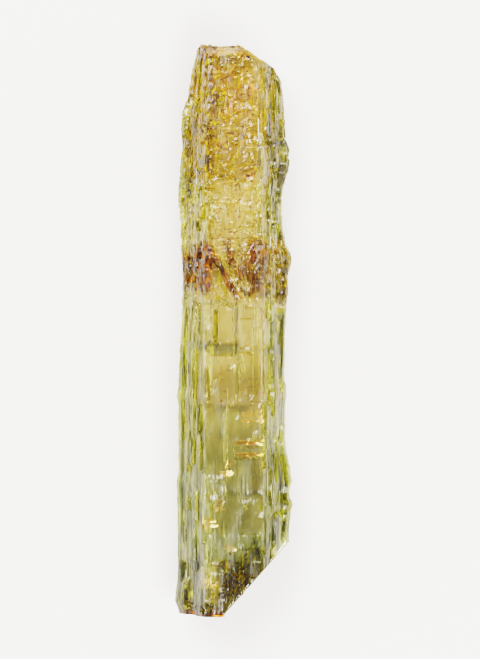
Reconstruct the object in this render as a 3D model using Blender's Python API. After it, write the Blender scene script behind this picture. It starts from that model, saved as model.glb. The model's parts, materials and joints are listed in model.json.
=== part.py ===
"""A natural golden beryl crystal: one six-sided prism, etched into ledges, lying on its back face.

The model is in metres. Sizes below are in millimetres. The crystal's length runs along +Y, its front
face looks up, and it rests on its flat back face.
"""

import math
import random

import bmesh
import bpy
from mathutils import Vector

MM = 0.001
NODE_NAME = "beryl_crystal"
SEED = 7

# Driving dimensions
LENGTH = 100.0
FACE_WIDTH = 10.4  # one side of the regular hexagon, so 20.8 across the side corners
APOTHEM = FACE_WIDTH * math.sqrt(3) / 2  # from the axis to the middle of a face
SPARE = 2.0  # prism past each end, before the ends are cut
RISER = 0.2  # how far a ledge's wall runs as it steps
TALLEST_ROW = 2.6
SHORTEST_ROW = 0.55

# How far the left and right corners reach from the axis: (height above the lower end, reach)
LEFT_REACH = (
    (0.0, 9.7), (2.1, 10.7), (3.8, 10.6), (6.0, 10.15), (21.7, 10.15), (23.1, 10.4), (24.5, 10.1),
    (37.1, 10.0), (38.5, 10.5), (39.9, 10.0), (47.0, 9.75), (51.6, 9.4), (61.0, 9.3), (65.0, 9.65),
    (70.7, 9.8), (72.1, 10.2), (78.0, 9.8), (82.0, 9.3), (85.0, 9.55), (88.6, 9.35), (90.0, 8.6),
    (91.6, 8.2), (95.0, 7.7), (98.9, 6.7),
)
RIGHT_REACH = (
    (0.0, 9.8), (14.7, 9.75), (17.6, 10.0), (19.1, 10.75), (20.2, 9.95), (22.0, 9.8), (23.1, 10.35),
    (25.7, 10.1), (28.0, 9.45), (30.6, 9.1), (36.8, 9.2), (38.2, 9.5), (39.7, 9.35), (41.0, 9.0),
    (50.0, 9.2), (55.2, 9.4), (57.7, 9.8), (59.6, 9.55), (60.6, 10.1), (62.5, 10.25), (64.0, 9.8),
    (65.4, 8.6), (72.6, 8.5), (75.0, 8.8), (77.7, 9.55), (79.6, 10.0), (82.2, 9.8), (83.3, 9.3),
    (88.9, 9.1), (91.5, 8.8), (94.0, 8.4),
)
EDGE_SHARE = 0.25  # how much of a side corner's inset is left at the front and back edges

# Where the columns of each face begin, as shares of its width, going clockwise seen from the lower end
FRONT_COLUMNS = (0.0, 0.087, 0.23, 0.365, 0.5, 0.587, 0.827)
SIDE_COLUMNS = (0.0, 0.13, 0.34, 0.46, 0.69, 0.86)
BACK_COLUMNS = (0.0, 0.16, 0.36, 0.66, 0.84)
FACES = ("front", "front_right", "back_right", "back", "back_left", "front_left")
BACK = FACES.index("back")

# How deep the etched terraces of each face lie, and how often a column steps from one to the next
TERRACE_DEPTHS = {
    "front": (0.0, 0.15, 0.3, 0.45),
    "front_right": (0.0, 0.25, 0.5, 0.8),
    "back_right": (0.0, 0.25, 0.5, 0.75),
    "back": (0.0, 0.0, 0.25, 0.45),
    "back_left": (0.0, 0.2, 0.45, 0.7),
    "front_left": (0.0, 0.2, 0.4, 0.7),
}
STEP_CHANCE = {
    "front": 0.35, "front_right": 0.4, "back_right": 0.28, "back": 0.2, "back_left": 0.28, "front_left": 0.3,
}
STAGGER = 0.36  # how far a ledge may lie above or below its row, as a share of the gap to the next
MERGE_ANGLE = 1.5  # cells that lie in one plane to within this many degrees become one face

# Panes and notches of the front face: (left, right, low, high, depth)
FRONT_PANES = (
    (-2.2, 5.2, 14.9, 20.6, 0.0),  # bright pane above the foot
    (-4.4, -1.4, 9.6, 14.4, 0.5),  # sunk pane at the foot
    (0.0, 5.2, 20.6, 27.8, 0.1),  # tall pane under the two ledges
    (0.0, 5.2, 27.8, 30.6, 0.75),  # notch with a ledge above and below
    (-5.2, -1.4, 24.5, 40.2, 0.0),  # largest smooth pane
    (-1.4, 0.0, 24.5, 36.8, 0.4),  # groove beside it
    (3.4, 5.2, 36.8, 50.6, 0.2),
    (-4.3, 0.0, 45.6, 47.8, 0.7),  # sunk slab
    (-4.3, 0.0, 47.8, 54.6, 0.1),
    (0.9, 3.4, 47.0, 52.5, 0.0),
    (0.9, 3.4, 45.6, 47.0, 0.55),
    (-5.2, 5.2, 55.2, 57.7, 0.45),  # etched band
    (-2.8, 3.4, 57.7, 62.5, 0.6),
    (0.9, 3.4, 67.6, 70.7, 0.0),
    (-2.8, -1.4, 67.6, 70.7, 0.05),
    (-4.3, 0.9, 72.6, 76.2, 0.1),
)

# Planes that cut the ends: (point on the plane, outward normal), from the axis and the lower end
END_CUTS = (
    ((0.0, 0.0, 0.0), (0.0, -1.0, 0.0)),  # flat lower end
    ((-1.5, 0.2, 0.0), (0.745, -0.666, 0.04)),  # long slanting face
    ((0.0, LENGTH, 0.0), (0.0, 1.0, 0.0)),
    ((2.4, 99.3, 0.0), (0.58, 0.81, 0.06)),  # three faces of the right shoulder
    ((5.95, 96.6, 0.0), (0.77, 0.62, -0.14)),
    ((8.2, 93.8, 0.0), (0.97, 0.21, 0.12)),
    ((-5.9, 99.6, 0.0), (-0.62, 0.78, -0.1)),  # left corner of the top
    ((-3.2, 98.4, 6.8), (-0.16, 0.79, 0.59)),  # broken front of the top
    ((2.4, 98.0, 7.6), (0.2, 0.62, 0.76)),
    ((0.6, 97.6, -7.4), (0.08, 0.74, -0.67)),  # and its back
)

# Finish
BERYL_COLOUR = (0.80, 0.68, 0.33, 1.0)
BERYL_ROUGHNESS = 0.12
BERYL_IOR = 1.575
BERYL_TRANSMISSION = 0.75


def clear_scene():
    for old in list(bpy.data.objects):
        bpy.data.objects.remove(old)


def between(points, at):
    """The value at a place on a line of (place, value) points, held level past both ends."""
    if at <= points[0][0]:
        return points[0][1]
    for (start, low), (end, high) in zip(points, points[1:]):
        if at <= end:
            return low + (high - low) * (at - start) / (end - start)
    return points[-1][1]


def hexagon_corners():
    """The prism's corners across its axis, from the front left one on, clockwise seen from the lower end."""
    half = FACE_WIDTH / 2
    return (
        Vector((-half, APOTHEM)), Vector((half, APOTHEM)), Vector((FACE_WIDTH, 0.0)),
        Vector((half, -APOTHEM)), Vector((-half, -APOTHEM)), Vector((-FACE_WIDTH, 0.0)),
    )


def column_bounds():
    """Where each column starts and ends, as (face number, start share, end share)."""
    columns = []
    for number, face in enumerate(FACES):
        starts = {"front": FRONT_COLUMNS, "back": BACK_COLUMNS}.get(face, SIDE_COLUMNS)
        if face in ("back_right", "front_left"):
            starts = (0.0,) + tuple(round(1 - share, 3) for share in reversed(starts[1:]))
        for start, end in zip(starts, starts[1:] + (1.0,)):
            columns.append((number, start, end))
    return columns


def row_heights():
    """The heights where rows of ledges meet: at the outline's own points, with the long gaps filled."""
    wanted = {height for height, _ in LEFT_REACH + RIGHT_REACH}
    wanted |= {height for pane in FRONT_PANES for height in pane[2:4]}
    heights = [-SPARE]
    for height in sorted(wanted) + [LENGTH + SPARE]:
        gap = height - heights[-1]
        if gap < SHORTEST_ROW:
            continue
        fills = math.ceil(gap / TALLEST_ROW)
        start = heights[-1]
        heights += [start + gap * part / fills for part in range(1, fills + 1)]
    return heights


def terraces(columns, rows):
    """How deep each cell of the surface lies, as a list for each column."""
    rng = random.Random(SEED)
    corner_share = 0.12
    depths = []
    for face_number, start, end in columns:
        face = FACES[face_number]
        at_side_corner = (face in ("front_right", "back_left") and end == 1.0) or (
            face in ("back_right", "front_left") and start == 0.0
        )
        limit = corner_share if at_side_corner else 1.0
        depth = rng.choice(TERRACE_DEPTHS[face])
        column = []
        for _ in rows[:-1]:
            if rng.random() < STEP_CHANCE[face]:
                depth = rng.choice(TERRACE_DEPTHS[face])
            column.append(depth * limit)
        depths.append(column)
    for column, (face_number, start, end) in zip(depths, columns):
        middle = (start + end - 1) * FACE_WIDTH / 2
        if FACES[face_number] == "front":
            for left, right, low, high, depth in FRONT_PANES:
                for row, (bottom, top) in enumerate(zip(rows, rows[1:])):
                    if left < middle < right and low < (bottom + top) / 2 < high:
                        column[row] = depth
        if face_number == BACK and start > 0.3 and end < 0.7:
            column[:] = [0.0] * len(column)  # the strip it rests on
    return depths


def staggered(columns, rows):
    """Each column's own heights for the rows, so that ledges side by side don't line up."""
    rng = random.Random(SEED + 1)
    gaps = [min(row - below, above - row) for below, row, above in zip(rows, rows[1:], rows[2:])]
    pane_edges = {height for pane in FRONT_PANES for height in pane[2:4]}
    heights = []
    for face_number, _, _ in columns:
        column = [rows[0]]
        for row, gap in zip(rows[1:-1], gaps):
            shift = rng.uniform(-STAGGER, STAGGER) * gap
            column.append(row if FACES[face_number] == "front" and row in pane_edges else row + shift)
        heights.append(column + [rows[-1]])
    return heights


def corner_inset(corner, height):
    """How far the prism is drawn in at one of its six corners, to follow the crystal's outline."""
    if corner in (2, 5):
        reach = between(RIGHT_REACH if corner == 2 else LEFT_REACH, height)
        return (FACE_WIDTH - reach) * APOTHEM / FACE_WIDTH
    side = RIGHT_REACH if corner in (1, 3) else LEFT_REACH
    return max(0.0, (FACE_WIDTH - between(side, height)) * EDGE_SHARE) if corner in (0, 1) else 0.0


def surface_point(corners, face_number, share, height, depth):
    """A point of the etched surface. Drawing the hexagon in towards its axis moves every face by the same depth."""
    following = (face_number + 1) % len(corners)
    inset = depth + (
        corner_inset(face_number, height) * (1 - share) + corner_inset(following, height) * share
    )
    across = corners[face_number].lerp(corners[following], share) * (1 - inset / APOTHEM)
    return Vector((across.x, height, across.y))


def etched_prism(bm):
    """The side surface, as a closed grid in which every cell keeps its own depth and a narrow riser joins cells."""
    corners = hexagon_corners()
    columns = column_bounds()
    rows = row_heights()
    depths = terraces(columns, rows)
    heights = staggered(columns, rows)
    lip = RISER / 2
    share_lip = lip / FACE_WIDTH
    rings = []
    for row in range(len(rows) - 1):
        for ledge, inwards in ((row, lip), (row + 1, -lip)):
            ring = []
            for column, (face_number, start, end) in enumerate(columns):
                height = heights[column][ledge] + inwards
                for share in (start + share_lip, end - share_lip):
                    point = surface_point(corners, face_number, share, height, depths[column][row])
                    ring.append(bm.verts.new(point))
            rings.append(ring)
    for lower, upper in zip(rings, rings[1:]):
        for this in range(len(lower)):
            after = (this + 1) % len(lower)
            bm.faces.new((lower[this], lower[after], upper[after], upper[this]))
    bm.faces.new(reversed(rings[0]))
    bm.faces.new(rings[-1])


def cut_end(bm, point, normal):
    """Cuts away what lies outside a plane and closes the cut with a flat face."""
    geometry = bm.verts[:] + bm.edges[:] + bm.faces[:]
    cut = bmesh.ops.bisect_plane(
        bm, geom=geometry, dist=1e-5, plane_co=point, plane_no=normal, clear_outer=True
    )
    rim = [item for item in cut["geom_cut"] if isinstance(item, bmesh.types.BMEdge)]
    bmesh.ops.triangle_fill(bm, use_beauty=True, use_dissolve=False, edges=rim, normal=normal)


def beryl_material():
    material = bpy.data.materials.new("golden_beryl")
    material.use_nodes = True
    shader = material.node_tree.nodes["Principled BSDF"]
    shader.inputs["Base Color"].default_value = BERYL_COLOUR
    shader.inputs["Roughness"].default_value = BERYL_ROUGHNESS
    shader.inputs["Metallic"].default_value = 0.0
    shader.inputs["IOR"].default_value = BERYL_IOR
    shader.inputs["Transmission Weight"].default_value = BERYL_TRANSMISSION
    return material


def beryl_crystal():
    bm = bmesh.new()
    etched_prism(bm)
    for point, normal in END_CUTS:
        cut_end(bm, Vector(point), Vector(normal).normalized())
    bmesh.ops.dissolve_limit(
        bm, angle_limit=math.radians(MERGE_ANGLE), verts=bm.verts[:], edges=bm.edges[:]
    )
    bmesh.ops.triangulate(bm, faces=bm.faces[:])
    bmesh.ops.recalc_face_normals(bm, faces=bm.faces[:])
    low = Vector([min(vert.co[axis] for vert in bm.verts) for axis in range(3)])
    high = Vector([max(vert.co[axis] for vert in bm.verts) for axis in range(3)])
    floor_centre = Vector(((low.x + high.x) / 2, (low.y + high.y) / 2, low.z))
    bmesh.ops.translate(bm, vec=-floor_centre, verts=bm.verts[:])
    bmesh.ops.scale(bm, vec=Vector((MM, MM, MM)), verts=bm.verts[:])
    mesh = bpy.data.meshes.new(NODE_NAME)
    bm.to_mesh(mesh)
    bm.free()
    mesh.materials.append(beryl_material())
    crystal = bpy.data.objects.new(NODE_NAME, mesh)
    bpy.context.collection.objects.link(crystal)
    return crystal


clear_scene()
beryl_crystal()
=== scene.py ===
# Golden beryl crystal: an etched, see-through prism that lies on its back face, and the needles,
# cracks and stains in it, with strips and specks of painted highlight, sheen and shade.
import json
import math
import random

import bmesh
import bpy
import numpy as np
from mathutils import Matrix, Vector
from mathutils.bvhtree import BVHTree

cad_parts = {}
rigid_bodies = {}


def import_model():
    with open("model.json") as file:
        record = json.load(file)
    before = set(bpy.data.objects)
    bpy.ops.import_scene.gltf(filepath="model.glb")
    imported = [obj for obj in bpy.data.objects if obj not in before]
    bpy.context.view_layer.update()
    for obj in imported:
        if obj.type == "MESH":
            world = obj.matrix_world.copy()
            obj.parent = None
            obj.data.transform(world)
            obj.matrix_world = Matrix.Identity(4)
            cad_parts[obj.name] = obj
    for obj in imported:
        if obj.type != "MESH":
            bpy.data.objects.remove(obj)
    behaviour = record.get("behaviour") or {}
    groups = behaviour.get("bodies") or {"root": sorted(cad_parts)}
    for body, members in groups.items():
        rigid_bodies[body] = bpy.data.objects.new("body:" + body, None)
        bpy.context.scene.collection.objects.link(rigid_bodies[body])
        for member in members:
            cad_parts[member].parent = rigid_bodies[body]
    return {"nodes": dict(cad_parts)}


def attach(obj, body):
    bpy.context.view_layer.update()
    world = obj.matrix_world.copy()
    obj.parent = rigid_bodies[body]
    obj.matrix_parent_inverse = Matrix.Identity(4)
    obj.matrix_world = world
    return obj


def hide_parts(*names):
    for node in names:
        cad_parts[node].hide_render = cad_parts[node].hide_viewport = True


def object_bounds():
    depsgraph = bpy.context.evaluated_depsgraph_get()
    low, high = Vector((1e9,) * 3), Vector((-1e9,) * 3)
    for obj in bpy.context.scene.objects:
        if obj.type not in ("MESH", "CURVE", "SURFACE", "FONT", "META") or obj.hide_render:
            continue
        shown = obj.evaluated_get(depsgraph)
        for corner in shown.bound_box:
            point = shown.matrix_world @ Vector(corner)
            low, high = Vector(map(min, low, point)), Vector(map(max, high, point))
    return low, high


mm = 0.001

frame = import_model()
cadLow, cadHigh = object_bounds()
cadCrystal = frame["nodes"]["beryl_crystal"]
print("frame loaded:", [round(v / mm, 1) for v in cadHigh - cadLow], "mm")

# Places on the crystal are in mm: x across as seen from the front, h above the lower end.
lowerEnd = cadLow.y / mm
apothem = (cadHigh.z - cadLow.z) / mm / 2  # from the crystal's axis to a prism face
faceWidth = apothem * 2 / math.sqrt(3)
around = 6 * faceWidth


# Helpers for objects, materials and node trees

def addObject(name, data):
    added = bpy.data.objects.new(name, data)
    bpy.context.scene.collection.objects.link(added)
    return added


def addMaterial(name):
    # a material, its node tree and its shader
    material = bpy.data.materials.new(name)
    material.use_nodes = True
    return material, material.node_tree, material.node_tree.nodes["Principled BSDF"]


def addNode(tree, kind, **settings):
    node = tree.nodes.new(kind)
    for name, value in settings.items():
        setattr(node, name, value)
    return node


def wire(target, source):
    # joins a socket to another, or sets it where the source is a plain value
    if isinstance(source, bpy.types.NodeSocket):
        target.id_data.links.new(source, target)
    else:
        target.default_value = source


def setInputs(node, **sources):
    for name, source in sources.items():
        wire(node.inputs[name.replace("_", " ")], source)


def mathNode(tree, operation, *sources, clamp=False):
    node = addNode(tree, "ShaderNodeMath", operation=operation, use_clamp=clamp)
    for target, source in zip(node.inputs, sources):
        wire(target, source)
    return node.outputs[0]


def vectorNode(tree, operation, *sources):
    node = addNode(tree, "ShaderNodeVectorMath", operation=operation)
    targets = [node.inputs[0], node.inputs["Scale"]] if operation == "SCALE" else node.inputs
    for target, source in zip(targets, sources):
        wire(target, source)
    return node.outputs["Value"] if operation == "DOT_PRODUCT" else node.outputs["Vector"]


def noiseNode(tree, scale, stretch=(1, 1, 1), detail=2.0):
    # noise in the object's own coordinates, its scale in bumps per mm
    place = addNode(tree, "ShaderNodeTexCoord").outputs["Object"]
    mapping = addNode(tree, "ShaderNodeMapping")
    setInputs(mapping, Vector=place, Scale=[scale / mm * s for s in stretch])
    noise = addNode(tree, "ShaderNodeTexNoise")
    setInputs(noise, Vector=mapping.outputs[0], Scale=1.0, Detail=detail)
    return noise.outputs[0]


def rampNode(tree, source, low, high, fromLow=0.0, fromHigh=1.0):
    node = addNode(tree, "ShaderNodeMapRange", interpolation_type="SMOOTHSTEP")
    setInputs(node, Value=source, From_Min=low, From_Max=high, To_Min=fromLow, To_Max=fromHigh)
    return node.outputs[0]


def mixColour(tree, share, first, second, blend="MIX"):
    node = addNode(tree, "ShaderNodeMix", data_type="RGBA", blend_type=blend, clamp_factor=True)
    wire(node.inputs["Factor"], share)
    wire(node.inputs[6], first)  # the colour pair A and B of this node
    wire(node.inputs[7], second)
    return node.outputs[2]


# The etched surface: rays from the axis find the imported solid, then relief is cut into what they find

bodyRecipe = dict(
    seed=21,
    columns=(74, 58, 18, 18, 18, 58),   # grid columns on each prism face, the front one first, clockwise
    lowRows=46, lowCapRows=14,          # rows in the lowest part of the sides, and across the cut end
    highRows=28, highCapRows=30,
    rowSteps=((15, 52, 0.4), (52, 91, 0.208)),  # the rows between: from where, up to where, how far apart
    axisX=-1.0,                         # the rays start left of the middle, clear of the slanting face
    rayNudge=1e-4,                      # turns a ray that slips through between two triangles
    cutReach=0.02, cutHalvings=18,      # how near a cut a point lies on it, and how finely its rim is sought
    wanderUp=0.34, wanderAside=0.13,    # how far ledges stray from ruled lines
    upLayers=(((0.5, 0.7), 1.0), ((1.7, 2.3), 0.7)), asideCell=(1.1, 0.9),
    wanderFade=2.0,                     # how far from the ends they stray less and less
    faceRidges=0.45, flankRidges=0.75,  # how strong the ridges are on all faces, and how much more on flanks
    flankFade=0.1,                      # the part of a face over which the flanks' own strength sets in
    stepDrop=0.08, stepSpan=0.14,       # ledges over this height get painted shade, and this much higher in full
    sharpAngle=24,
)

# ridges along the crystal: width and length of one, how deep they are cut, in how many steps (0 for smooth)
ridgeRecipes = (
    dict(cell=(0.34, 13.0), depth=0.05, steps=3),
    dict(cell=(0.8, 22.0), depth=0.07, steps=4),
    dict(cell=(1.7, 9.0), depth=0.06, steps=0),
)

# random blocks cut into the sides: number, width, height, depth, lowest and highest place along the crystal
blockRecipes = (
    dict(count=420, width=(0.2, 0.6), height=(3, 22), depth=(0.02, 0.07), span=(0, 100)),
    dict(count=300, width=(0.5, 2.2), height=(0.5, 5), depth=(0.03, 0.11), span=(0, 100)),
    dict(count=560, width=(0.4, 2.0), height=(0.25, 1.4), depth=(0.04, 0.15), span=(53, 98)),
    dict(count=420, width=(0.5, 2.6), height=(0.18, 0.3), depth=(0.08, 0.22), span=(53, 99)),
    dict(count=130, width=(0.3, 1.1), height=(0.2, 0.9), depth=(0.08, 0.24), span=(54, 67)),
)
blockSlope = 0.3  # how far the ends of a block may lean

# round pits: number, size, depth, lowest and highest place, how squat they are, and how much of one is flat
pitRecipe = dict(
    count=330, radius=(0.16, 0.42), depth=(0.05, 0.17), span=(52, 99), squat=(0.5, 1.3), flat=0.3
)

# the broken end: the size, steps and depth of its ledges, its bumps, and the rows over which it sets in
endRecipe = dict(ledge=(2.6, 1.9), steps=4, depth=0.9, bump=(0.7, 0.6), bumpDepth=0.25, rimRows=9)

# smooth windows of the front face: left, right, foot, top, how softly they end, how much etching they lose
windowRecipes = (
    (-5.9, -1.9, 27, 38, 0.5, 0.8), (0.3, 5.1, 21.4, 27.6, 0.6, 0.7), (-2.2, 5.0, 14.2, 20.8, 0.8, 0.75),
    (-1.2, 4.8, 30.8, 36.0, 0.6, 0.6),
)

# single panes of the front face: left, right, foot, top, how deep they are sunk, and how round their top is
paneRecipes = (
    (-4.4, 0.2, 45.7, 47.8, 0.38, 0), (0.9, 3.2, 46.2, 46.9, 0.3, 0), (3.5, 5.3, 37.6, 50.6, 0.24, 1.0),
    (-5.2, -3.3, 47.8, 53.4, 0.1, 0), (-2.8, 0.2, 47.8, 54.6, 0.22, 0.5), (0.9, 3.2, 46.9, 52.0, 0.15, 0),
    (-2.3, -0.8, 67.9, 70.9, 0.16, 0), (0.9, 3.5, 67.9, 70.6, 0.22, 0),
    (-5.1, 1.0, 72.6, 76.4, 0.16, 1.4), (0.0, 4.9, 29.8, 30.6, 0.32, 0), (0.0, 4.9, 27.8, 28.5, 0.32, 0),
    (-1.9, -1.3, 27.1, 36.0, 0.34, 0), (-3.5, -3.0, 47.8, 53.0, 0.35, 0),
    (-6.0, -5.2, 25.4, 37.4, 0.3, 0.6), (-4.8, -2.6, 9.0, 21.0, 0.18, 0),
    (0.1, 1.6, 7.0, 13.2, 0.26, 0.9),
)


def hexPoint(place):
    # the corner-to-corner hexagon this far round, from the front face's left edge clockwise
    corner, share = divmod(place / faceWidth % 6, 1)
    turns = [math.radians(120 - 60 * (corner + k)) for k in (0, 1)]
    start, end = [np.array((math.cos(t), math.sin(t))) * faceWidth for t in turns]
    return start * (1 - share) + end * share


def gridPlaces(recipe):
    # how far round each grid column stands
    faces = enumerate(recipe["columns"])
    return np.array([(face + n / count) * faceWidth for face, count in faces for n in range(count)])


def gridHeights(recipe):
    # how high the rows between the ends stand
    heights = []
    for low, high, step in recipe["rowSteps"]:
        heights += list(lowerEnd + np.arange(low, high, step))
    return np.array(heights + [lowerEnd + recipe["rowSteps"][-1][1]])


def endPlanes(cad, smallest=6.0, steepest=0.15):
    # the flat cuts across the crystal's two ends, as (normal, distance) pairs: over so many square mm, and
    # turned towards an end by more than a terrace of the sides is
    found = {}
    for face in cad.polygons:
        normal = face.normal
        if abs(normal.y) > steepest:
            key = tuple(round(v, 2) for v in normal) + (round(normal.dot(face.center) / mm, 1),)
            found.setdefault(key, []).append(face)
    planes = []
    for faces in found.values():
        if sum(face.area for face in faces) > smallest * mm * mm:
            normal = faces[0].normal.copy()
            planes.append((normal, normal.dot(faces[0].center) / mm))
    return planes


def softNoise(first, second, cell, rng):
    # smooth noise from -1 to 1 over two coordinates, its bumps about one cell across
    size = 64  # bumps before the noise repeats
    table = np.array([[rng.uniform(-1, 1) for _ in range(size)] for _ in range(size)])
    a, b = first / cell[0], second / cell[1]
    i, j = np.floor(a).astype(int), np.floor(b).astype(int)
    u, v = a - i, b - j
    u, v = u * u * (3 - 2 * u), v * v * (3 - 2 * v)
    i, j, k, m = i % size, j % size, (i + 1) % size, (j + 1) % size
    near = table[i, j] * (1 - u) + table[k, j] * u
    far = table[i, m] * (1 - u) + table[k, m] * u
    return near * (1 - v) + far * v


def layeredNoise(noise, first, second, layers, rng):
    # the layers of a noise added up, each as (cell, share)
    return sum(share * noise(first, second, cell, rng) for cell, share in layers)


def wanderFields(places, heights, recipe, rng):
    # how far up and aside each point of these rows reads its ledge, fading out towards both ends
    across, along = np.meshgrid(places, heights)
    fade = np.clip(np.minimum(along - heights[0], heights[-1] - along) / recipe["wanderFade"], 0, 1)
    up = layeredNoise(softNoise, across, along, recipe["upLayers"], rng)
    aside = softNoise(across, along, recipe["asideCell"], rng)
    return up * fade * recipe["wanderUp"], aside * fade * recipe["wanderAside"]


def castSurface(recipe, rng):
    # the grid of points that the rays find, row by row from the lower end, and a pole at each end
    cad = cadCrystal.data
    tree = BVHTree.FromPolygons([v.co / mm for v in cad.vertices], [p.vertices for p in cad.polygons])
    planes = endPlanes(cad)
    places, heights = gridPlaces(recipe), gridHeights(recipe)
    first, last = heights[0], heights[-1]
    middleX = recipe["axisX"]
    nudge = Vector([recipe["rayNudge"]] * 3)

    def onAxis(height):
        return Vector((middleX, height, apothem))

    def cast(place, height, angle):
        x, z = hexPoint(place)
        out = Vector((x - middleX, 0, z)).normalized() * math.cos(angle) + Vector((0, math.sin(angle), 0))
        return tree.ray_cast(onAxis(height), out)[0] or tree.ray_cast(onAxis(height), out + nudge)[0]

    def onCut(point):
        return any(abs(normal.dot(point) - distance) < recipe["cutReach"] for normal, distance in planes)

    def cutAngle(place, height, way):
        # halves its way to the angle at which a ray leaves the side and meets the cut
        side, cut = 0.0, math.pi / 2
        for _ in range(recipe["cutHalvings"]):
            middle = (side + cut) / 2
            side, cut = (side, middle) if onCut(cast(place, height, way * middle)) else (middle, cut)
        return cut

    def sweepAngles(place, height, way, sideRows, capRows):
        cut = cutAngle(place, height, way)
        onSide = [math.atan(math.tan(cut) * n / sideRows) for n in range(1, sideRows + 1)]
        onCap = [cut + (math.pi / 2 - cut) * n / capRows for n in range(1, capRows)]
        return onSide + onCap

    def wandered(place, height, aside, up):
        # the depth of a ledge is read a little to one side, so that its edges aren't ruled lines
        x, z = hexPoint(place + aside)
        found = cast(place + aside, height + up, 0) - onAxis(height + up)
        inset = math.hypot(x - middleX, z) - found.length
        near = hexPoint(place) - np.array((middleX, 0))
        reach = np.linalg.norm(near)
        x, z = near * (1 - max(inset, 0) / reach)
        return (middleX + x, height, apothem + z)

    up, aside = wanderFields(places, heights, recipe, rng)
    below = [sweepAngles(p, first, -1, recipe["lowRows"], recipe["lowCapRows"]) for p in places]
    above = [sweepAngles(p, last, 1, recipe["highRows"], recipe["highCapRows"]) for p in places]
    rows = [[cast(p, first, -a) for p, a in zip(places, angles)] for angles in reversed(list(zip(*below)))]
    for r, height in enumerate(heights):
        rows.append([wandered(p, height, aside[r, c], up[r, c]) for c, p in enumerate(places)])
    rows += [[cast(p, last, a) for p, a in zip(places, angles)] for angles in zip(*above)]
    ends = ((first, -1), (last, 1))
    poles = [tree.ray_cast(onAxis(height), Vector((0, way, 0)))[0] for height, way in ends]
    return np.array(rows, dtype=float), poles, places


def ridgeDepth(place, height, recipes, rng):
    depth = np.zeros(height.shape)
    for recipe in recipes:
        noise = softNoise(place, height, recipe["cell"], rng) * 0.5 + 0.5
        if recipe["steps"]:
            noise = np.floor(noise * recipe["steps"]) / recipe["steps"]
        depth += recipe["depth"] * noise
    return depth


def blockDepth(place, height, recipes, rng):
    depth = np.zeros(height.shape)
    for recipe in recipes:
        low, high = recipe["span"]
        for _ in range(recipe["count"]):
            wide, tall = rng.uniform(*recipe["width"]), rng.uniform(*recipe["height"])
            left, foot = rng.uniform(0, around), rng.uniform(low, high) - tall / 2
            slope, cut = rng.uniform(-blockSlope, blockSlope), rng.uniform(*recipe["depth"])
            offset = (place - left) % around
            rise = height - foot - slope * offset
            depth += cut * ((offset < wide) & (rise > 0) & (rise < tall))
    return depth


def pitDepth(place, height, recipe, rng):
    depth = np.zeros(height.shape)
    low, high = recipe["span"]
    for _ in range(recipe["count"]):
        radius, cut = rng.uniform(*recipe["radius"]), rng.uniform(*recipe["depth"])
        across = (place - rng.uniform(0, around) + around / 2) % around - around / 2
        along = (height - rng.uniform(low, high)) * rng.uniform(*recipe["squat"])
        far = (across ** 2 + along ** 2) / radius ** 2
        depth = np.maximum(depth, cut * np.clip(1 + recipe["flat"] - far, 0, 1))
    return depth


def endDepth(x, z, recipe, rng):
    # the broken upper end: a few ledges, and small bumps on them
    ledges = softNoise(x, z, recipe["ledge"], rng) * 0.5 + 0.5
    ledges = np.floor(ledges * recipe["steps"]) / recipe["steps"] * recipe["depth"]
    return ledges + recipe["bumpDepth"] * (softNoise(x, z, recipe["bump"], rng) * 0.5 + 0.5)


def paneDepth(x, height, recipes):
    depth = np.zeros(height.shape)
    for left, right, foot, top, cut, arch in recipes:
        share = np.clip((x - left) / (right - left), 0, 1)
        roof = top - arch * (1 - np.sqrt(np.clip(1 - (2 * share - 1) ** 2, 0, 1)))
        depth += cut * ((x > left) & (x < right) & (height > foot) & (height < roof))
    return depth


# Tints of the glass, one at each point of the skin. Some are painted light: a sheen that lightens strips,
# and shade on the flanks, in sunk panes and along ledges

tintColours = dict(
    pale=(0.99, 0.97, 0.84), cream=(1.0, 0.85, 0.78), gold=(1.0, 0.78, 0.24), tan=(0.80, 0.745, 0.52),
    # the dark olive-green among these is olive streaks and painted shade on the flanks
    smoke=(0.59, 0.58, 0.54), painted_shade_and_olive=(0.21, 0.23, 0.06), amber=(0.66, 0.45, 0.05), ochre=(0.56, 0.42, 0.004),
    haze=(0.78, 0.88, 1.0), stain=(0.35, 0.275, 0.004), ember=(0.70, 0.16, 0.003), rust=(0.55, 0.30, 0.02),
    # the slate grey is random tone and painted shade in sunk panes, along ledges and on the flanks, and the
    # last one is painted shade where ledges drop
    slate_and_painted_shade=(0.46, 0.50, 0.44), olive=(0.30, 0.285, 0.003), step=(0.66, 0.60, 0.40),
)

# the grains: layers of noise as (cell in mm, share), and the two levels of it between which a grain sets in
grainRecipe = dict(
    streak=(((0.42, 7.0), 0.7), ((0.9, 3.0), 0.5)), streakLevels=(-0.1, 0.15), threadLevels=(0.05, 0.3),
    mottle=(((0.9, 1.1), 1.0), ((0.4, 0.5), 0.6)), mottleLevels=(-0.2, 0.2),
    pane=(((1.3, 3.1), 0.6), ((0.5, 0.9), 0.4)), paneLevels=(0.42, 0.68),
    sway=(((0.8, 0.6), 0.25),),   # how far panes stray from a ruled wall
    fray=(((0.7, 1.6), 0.5),),    # how far the edge of a zone strays, as a share of its fade
    paintedSheenThins=0.85,             # how much of the other tints the painted sheen takes away, so its strips show lighter: a painted reflection
)

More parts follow.
